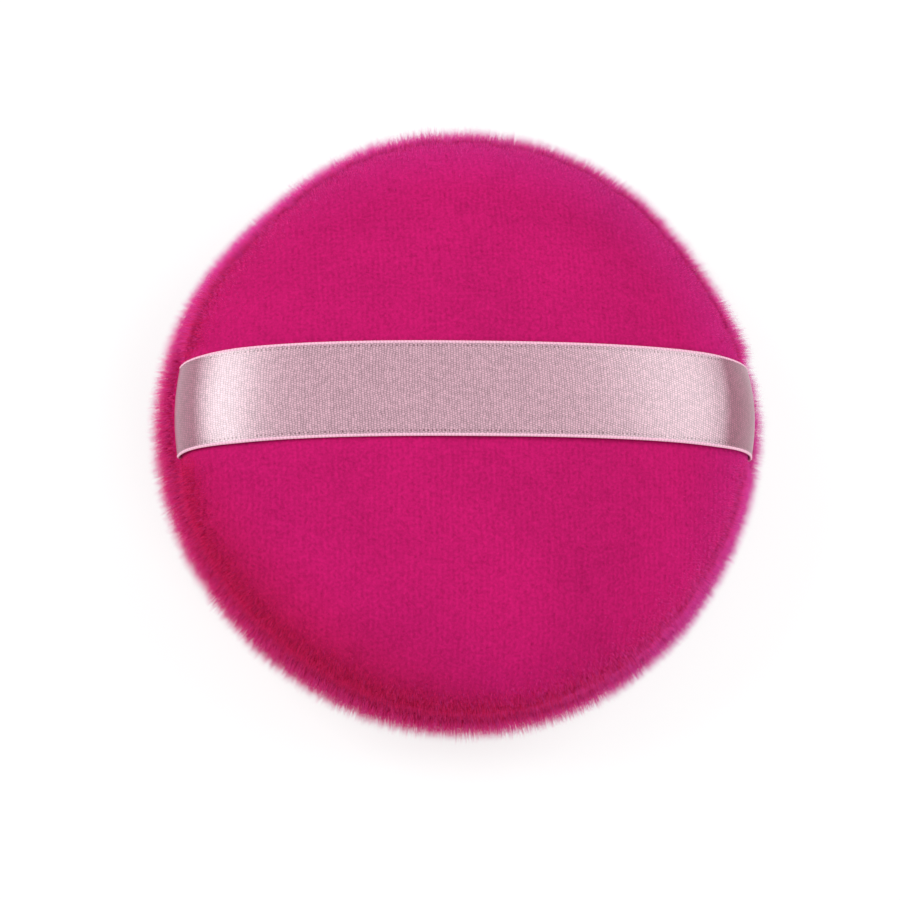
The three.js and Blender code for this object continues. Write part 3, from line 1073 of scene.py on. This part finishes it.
def back_velour(points, normals, from_fold):
    """The back cover and the two pieces of its pile, which has no fibres on the flat it rests on."""
    height = np.maximum(points[..., 2], 0.0)
    points[..., 2] = height
    cover = shell("velour_back", points, inner_side(points, normals, rings=40), True)
    bent = np.maximum(bend(normals), smooth(height, BACK_RIM, BACK_RIM + BACK_BEND_HEIGHT))
    near_end = SHORTER_BESIDE * under_ribbon(points, margin=1.0 * MM)
    near_end = near_end * smooth(height, BACK_FOLD - BESIDE_DEPTH, BACK_FOLD)
    near_seam = smooth(height, BACK_FOLD - SEAM_FIBRE_DEPTH, BACK_FOLD)
    at_edge = RIM_FIBRE + (SEAM_FIBRE - RIM_FIBRE) * near_seam
    length = fibre_length(from_fold, bent, at_edge, near_end) * smooth(height, *PILE_OFF_FLOOR)
    return cover, velour_pile("back", points, normals, bent, length, seed=13)


def covers():
    """Both velour covers, each with the two pieces of its pile."""
    ground, shades = velour_cloth(), pile_materials()
    front, back = sewn_and_filled([
        cover_grid(front_profile(), 1, seed=3),
        cover_grid(back_profile(), -1, seed=8),
    ])
    made = {"front": front_velour(*front), "back": back_velour(*back)}
    for name, (cover, coats) in made.items():
        cover.data.materials.append(ground)
        for coat in coats:
            for shade in shades[name]:
                coat.data.materials.append(shade)
    return made


def ribbon():
    """The four stretches of ribbon: two halves of the band and the two sewn tails."""
    weave, edge = satin_weave(), satin_selvedge()
    band, tail = ribbon_path()
    made = {}
    for name, side in (("right", 1), ("left", -1)):
        half, length = ribbon_piece(f"satin_half_{name}", band, side, 0.0)
        end, _ = ribbon_piece(f"satin_tail_{name}", tail, side, length, TAIL_THINNER)
        for piece in (half, end):
            piece.data.materials.append(weave)
            piece.data.materials.append(edge)
        made[name] = (half, end)
    return made


def foam_pad():
    """The foam disc inside the covers."""
    low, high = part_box("foam_core")
    bowl = arc((REST_RADIUS, BACK_RIM), (high.x - REST_RADIUS, BACK_RIM - low.z), -90, 0, steps=20)
    lip = [FOLD_RADIUS - LIP_INSET, SEAM - LIP_DROP]
    waist = [[FOLD_RADIUS - WAIST_INSET, SEAM + rise] for rise in (-WAIST_HALF, WAIST_HALF)]
    base = SEAM + FOAM_DOME_RISE
    crown = arc((0, base), (GROUND_EDGE - FOAM_DOME_INSET, high.z - base), 0, 90, steps=40)
    profile = evenly(np.concatenate([[[0, low.z]], bowl, [lip], waist, crown]), FOAM_STEP)
    angle = np.linspace(0, 2 * np.pi, FOAM_STEPS, endpoint=False)
    points = on_plan(profile[:, :1], angle[None], profile[:, 1:])
    rings = points[1:-1]
    verts = np.concatenate([points[0, :1], rings.reshape(-1, 3), points[-1, :1]])
    top_pole = len(verts) - 1
    sides = split_quads(ring_faces(1, len(rings), FOAM_STEPS, True))
    under = pole_faces(0, 1, FOAM_STEPS, True)
    over = pole_faces(top_pole, top_pole - FOAM_STEPS, FOAM_STEPS, False)
    piece = new_mesh("foam_disc", verts, np.concatenate([sides, under, over]))
    piece.data.materials.append(foam_material())
    return piece


def threads():
    """The machine seam's thread and the hand stitched closing thread."""
    cotton = cotton_material()
    thickness = thread_high.z - thread_low.z
    radius = FOLD_RADIUS - SEAM_INSET
    gap_half = GAP_HALF / radius
    angle = np.linspace(np.pi / 2 + gap_half, 2.5 * np.pi - gap_half, SEAM_STEPS)
    height = np.full_like(angle, (thread_low.z + thread_high.z) / 2)
    seam = thread_piece("machine_stitching", on_plan(radius, angle, height), thickness)
    half = gap_half - CLOSING_GAP / radius
    stitches = round(2 * half * radius / STITCH)
    angle = np.linspace(np.pi / 2 - half, np.pi / 2 + half, STITCH_STEPS * stitches)
    rise = (closing_high.z - closing_low.z - thickness) / 2
    middle = (closing_high.z + closing_low.z) / 2
    zigzag = middle - rise * np.cos(np.linspace(0, np.pi * stitches, len(angle)))
    closing = thread_piece("ladder_stitching", on_plan(radius, angle, zigzag), thickness)
    for piece in (seam, closing):
        piece.data.materials.append(cotton)
    return seam, closing


# Camera, floor and light

def camera():
    """The camera at the photograph's angle, moved sideways so that the puff lies where it does there."""
    pitch, yaw = CAMERA_PITCH, CAMERA_YAW
    back = Vector((-math.sin(yaw) * math.cos(pitch), -math.sin(pitch), math.cos(pitch) * math.cos(yaw)))
    back = back.normalized()
    right = Vector((0, 1, 0)).cross(back).normalized()
    up = back.cross(right)
    turned_right = right * math.cos(CAMERA_ROLL) - up * math.sin(CAMERA_ROLL)
    turned_up = right * math.sin(CAMERA_ROLL) + up * math.cos(CAMERA_ROLL)
    pixel = MM / PIXELS_PER_MM
    aside = (AIM_PIXEL[0] - IMAGE_PIXELS / 2) * pixel
    above = (IMAGE_PIXELS / 2 - AIM_PIXEL[1]) * pixel
    target = Vector((0, 0, SEAM)) - turned_right * aside - turned_up * above
    lens = bpy.data.cameras.new("camera")
    lens.sensor_width = SENSOR_WIDTH
    lens.lens = SENSOR_WIDTH * CAMERA_DISTANCE / (IMAGE_PIXELS * pixel)
    lens.clip_start = 0.01
    made = in_scene("camera", lens)
    place = target + back * CAMERA_DISTANCE
    axes = Matrix((turned_right, turned_up, back)).transposed().to_4x4()
    made.matrix_world = Matrix.Translation(place) @ axes
    bpy.context.scene.camera = made


def softbox(name, direction, distance, size, power):
    """An area light that faces the puff from a direction."""
    lamp = bpy.data.lights.new(name, "AREA")
    lamp.shape = "RECTANGLE"
    lamp.size, lamp.size_y = size
    lamp.energy = power
    made = in_scene(name, lamp)
    direction = Vector(direction).normalized()
    made.location = Vector((0, 0, SEAM)) + direction * distance
    made.rotation_mode = "QUATERNION"
    made.rotation_quaternion = direction.to_track_quat("Z", "Y")


def stage():
    """A plain pale floor that glows a little, as a light table does, with soft boxes and an even sky."""
    half = FLOOR_HALF
    corners = [(-half, -half, 0), (half, -half, 0), (half, half, 0), (-half, half, 0)]
    floor = bpy.data.meshes.new("floor")
    floor.from_pydata(corners, [], [(0, 1, 2, 3)])
    made = in_scene("floor", floor)
    paper, _, shader = material("pale_floor", FLOOR_GREY, roughness=0.7, specular=0.2)
    set_inputs(shader, {"Emission Color": WHITE, "Emission Strength": FLOOR_GLOW})
    made.data.materials.append(paper)
    for name, box in SOFT_BOXES.items():
        softbox(name, **box)
    world = bpy.data.worlds.new("studio")
    world.use_nodes = True
    set_inputs(world.node_tree.nodes["Background"], {"Color": WHITE, "Strength": SKY_STRENGTH})
    bpy.context.scene.world = world
    bpy.context.scene.view_settings.view_transform = "Standard"


def attach(cloth, band, foam, seam, closing):
    """Says which body each piece moves with and which solids it stands for."""
    for (cover, coats), solid, disc in (
        (cloth["front"], "front_cover", FRONT_DISC),
        (cloth["back"], "back_cover", BACK_DISC),
    ):
        for piece in (cover, *coats):
            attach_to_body(piece, "puff")
        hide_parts(solid)
    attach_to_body(foam, "puff")
    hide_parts("foam_core")
    for piece, solid in ((seam, "seam_thread"), (closing, "closing_thread")):
        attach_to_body(piece, "puff")
        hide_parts(solid)
    for name, side in (("right", 1), ("left", -1)):
        half, tail = band[name]
        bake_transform(half)
        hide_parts("ribbon_band")
        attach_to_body(tail, "puff")
        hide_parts(f"ribbon_tail_{name}")


camera()
stage()
cloth = covers()
band = ribbon()
attach(cloth, band, foam_pad(), *threads())
